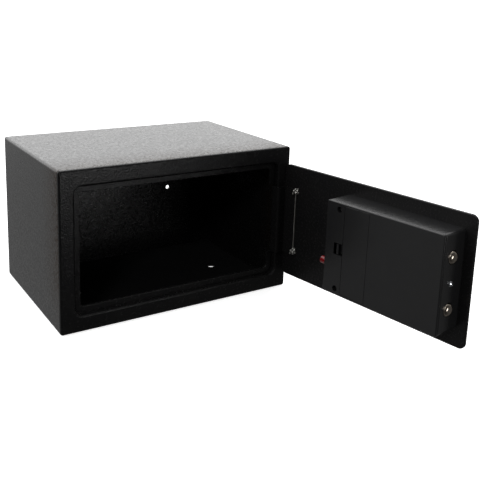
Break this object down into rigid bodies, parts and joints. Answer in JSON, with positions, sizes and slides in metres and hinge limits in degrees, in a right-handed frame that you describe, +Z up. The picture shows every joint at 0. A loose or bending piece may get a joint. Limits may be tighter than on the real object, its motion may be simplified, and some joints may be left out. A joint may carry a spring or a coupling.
{
  "type": "in room safe",
  "caption": "Small black steel in-room safe with a side-hinged door standing open, a lock box with round locking bolts on the door, and a keypad with a turn knob outside.",
  "frame": {"origin": "middle of the body's underside, on the surface it stands on", "axes": "+Z up, -Y to the front with the door, +X to the hinge side"},
  "size_m": [0.3636, 0.474, 0.19],
  "materials": {
    "body_coat": "black textured powder coat",
    "door_coat": "black textured powder coat",
    "floor_felt": "black felt",
    "weld_metal": "bare weld",
    "lock_plastic": "satin charcoal moulding",
    "inner_plastic": "black moulding",
    "cell_sleeve": "printed sleeve, plain",
    "spring_steel": "nickel plated spring steel",
    "bolt_nickel": "nickel plated steel",
    "zinc_steel": "bright zinc",
    "black_steel": "blackened screws",
    "brass": "turned brass",
    "coil_copper": "enamelled copper winding",
    "board_green": "circuit board with green solder resist",
    "component_black": "moulded components",
    "fascia_plastic": "black textured moulding",
    "key_rubber": "grey silicone",
    "window_tint": "dark red tinted acrylic",
    "knob_chrome": "satin chrome",
    "reset_red": "red moulding"
  },
  "bodies": {
    "safe_body": {"body_wrapper": "body_coat", "rear_panel": "body_coat", "front_frame": "body_coat", "floor_mat": "floor_felt", "strike_channel": "body_coat", "hinge_tabs": "body_coat", "hinge_pin": "zinc_steel"},
    "door": {"door_plate": "door_coat", "hinge_plate": "door_coat", "hinge_welds": "weld_metal", "lock_housing": "lock_plastic", "lock_cover": "lock_plastic", "battery_tray": "inner_plastic", "aa_cell_1": "cell_sleeve", "aa_cell_2": "cell_sleeve", "aa_cell_3": "cell_sleeve", "aa_cell_4": "cell_sleeve", "battery_contacts": "spring_steel", "bolt_guide": "zinc_steel", "guide_screw": "zinc_steel", "spindle_bush": "brass", "solenoid_frame": "zinc_steel", "solenoid_coil": "coil_copper", "plunger_spring": "spring_steel", "control_board": "board_green", "board_components": "component_black", "reset_switch": "inner_plastic", "keypad_fascia": "fascia_plastic", "keypad_board": "board_green", "dome_mat": "key_rubber", "display_window": "window_tint", "display_module": "component_black", "key_cylinder": "brass", "cylinder_nut": "brass", "pan_head_screws": "zinc_steel", "cover_pillars": "zinc_steel", "cover_screws": "black_steel"},
    "bolts": {"bolt_carrier": "zinc_steel", "locking_bolt_lower": "bolt_nickel", "locking_bolt_upper": "bolt_nickel"},
    "knob": {"turn_knob": "knob_chrome", "knob_spindle": "zinc_steel"},
    "plunger": {"solenoid_plunger": "zinc_steel"},
    "lock_plug": {"key_plug": "brass"},
    "override_cap": {"override_cap": "fascia_plastic"},
    "battery_cover": {"battery_cover": "lock_plastic"},
    "reset_button": {"reset_button": "reset_red"},
    "key_clear": {"key_clear": "key_rubber"},
    "key_0": {"key_0": "key_rubber"},
    "key_enter": {"key_enter": "key_rubber"},
    "key_7": {"key_7": "key_rubber"},
    "key_8": {"key_8": "key_rubber"},
    "key_9": {"key_9": "key_rubber"},
    "key_4": {"key_4": "key_rubber"},
    "key_5": {"key_5": "key_rubber"},
    "key_6": {"key_6": "key_rubber"},
    "key_1": {"key_1": "key_rubber"},
    "key_2": {"key_2": "key_rubber"},
    "key_3": {"key_3": "key_rubber"}
  },
  "joints": [
    {"name": "door_hinge", "type": "hinge", "parent": "safe_body", "child": "door", "pos_m": [0.1443, -0.0955, 0.095], "axis": [0, 0, 1], "range_deg": [-98.3, 5.7]},
    {"name": "bolt_slide", "type": "slide", "parent": "door", "child": "bolts", "axis": [0.1444, -0.9895, 0], "range_m": [0, 0.012]},
    {"name": "knob_turn", "type": "hinge", "parent": "door", "child": "knob", "pos_m": [0.18245, -0.30852, 0.0975], "axis": [0.9895, 0.1444, 0], "range_deg": [0, 70]},
    {"name": "plunger_slide", "type": "slide", "parent": "door", "child": "plunger", "axis": [0, 0, -1], "range_m": [0, 0.003]},
    {"name": "key_turn", "type": "hinge", "parent": "door", "child": "lock_plug", "pos_m": [0.18245, -0.30852, 0.07], "axis": [-0.9895, -0.1444, 0], "range_deg": [0, 90]},
    {"name": "cap_pull", "type": "slide", "parent": "door", "child": "override_cap", "axis": [0.9895, 0.1444, 0], "range_m": [0, 0.012]},
    {"name": "battery_cover_lift", "type": "slide", "parent": "door", "child": "battery_cover", "axis": [-0.9895, -0.1444, 0], "range_m": [0, 0.025]},
    {"name": "reset_press", "type": "slide", "parent": "door", "child": "reset_button", "axis": [0.1444, -0.9895, 0], "range_m": [0, 0.0015], "stiffness_N_per_m": 800, "springref_m": -0.0005},
    {"name": "key_clear_press", "type": "slide", "parent": "door", "child": "key_clear", "axis": [-0.9895, -0.1444, 0], "range_m": [0, 0.001], "stiffness_N_per_m": 800, "springref_m": -0.0005},
    {"name": "key_0_press", "type": "slide", "parent": "door", "child": "key_0", "axis": [-0.9895, -0.1444, 0], "range_m": [0, 0.001], "stiffness_N_per_m": 800, "springref_m": -0.0005},
    {"name": "key_enter_press", "type": "slide", "parent": "door", "child": "key_enter", "axis": [-0.9895, -0.1444, 0], "range_m": [0, 0.001], "stiffness_N_per_m": 800, "springref_m": -0.0005},
    {"name": "key_7_press", "type": "slide", "parent": "door", "child": "key_7", "axis": [-0.9895, -0.1444, 0], "range_m": [0, 0.001], "stiffness_N_per_m": 800, "springref_m": -0.0005},
    {"name": "key_8_press", "type": "slide", "parent": "door", "child": "key_8", "axis": [-0.9895, -0.1444, 0], "range_m": [0, 0.001], "stiffness_N_per_m": 800, "springref_m": -0.0005},
    {"name": "key_9_press", "type": "slide", "parent": "door", "child": "key_9", "axis": [-0.9895, -0.1444, 0], "range_m": [0, 0.001], "stiffness_N_per_m": 800, "springref_m": -0.0005},
    {"name": "key_4_press", "type": "slide", "parent": "door", "child": "key_4", "axis": [-0.9895, -0.1444, 0], "range_m": [0, 0.001], "stiffness_N_per_m": 800, "springref_m": -0.0005},
    {"name": "key_5_press", "type": "slide", "parent": "door", "child": "key_5", "axis": [-0.9895, -0.1444, 0], "range_m": [0, 0.001], "stiffness_N_per_m": 800, "springref_m": -0.0005},
    {"name": "key_6_press", "type": "slide", "parent": "door", "child": "key_6", "axis": [-0.9895, -0.1444, 0], "range_m": [0, 0.001], "stiffness_N_per_m": 800, "springref_m": -0.0005},
    {"name": "key_1_press", "type": "slide", "parent": "door", "child": "key_1", "axis": [-0.9895, -0.1444, 0], "range_m": [0, 0.001], "stiffness_N_per_m": 800, "springref_m": -0.0005},
    {"name": "key_2_press", "type": "slide", "parent": "door", "child": "key_2", "axis": [-0.9895, -0.1444, 0], "range_m": [0, 0.001], "stiffness_N_per_m": 800, "springref_m": -0.0005},
    {"name": "key_3_press", "type": "slide", "parent": "door", "child": "key_3", "axis": [-0.9895, -0.1444, 0], "range_m": [0, 0.001], "stiffness_N_per_m": 800, "springref_m": -0.0005}
  ],
  "couplings": [
    {"joint": "knob_turn", "follows": "bolt_slide", "rad_per_m": 101.81},
    {"joint": "plunger_slide", "follows": "bolt_slide", "ratio": 0.25}
  ]
}
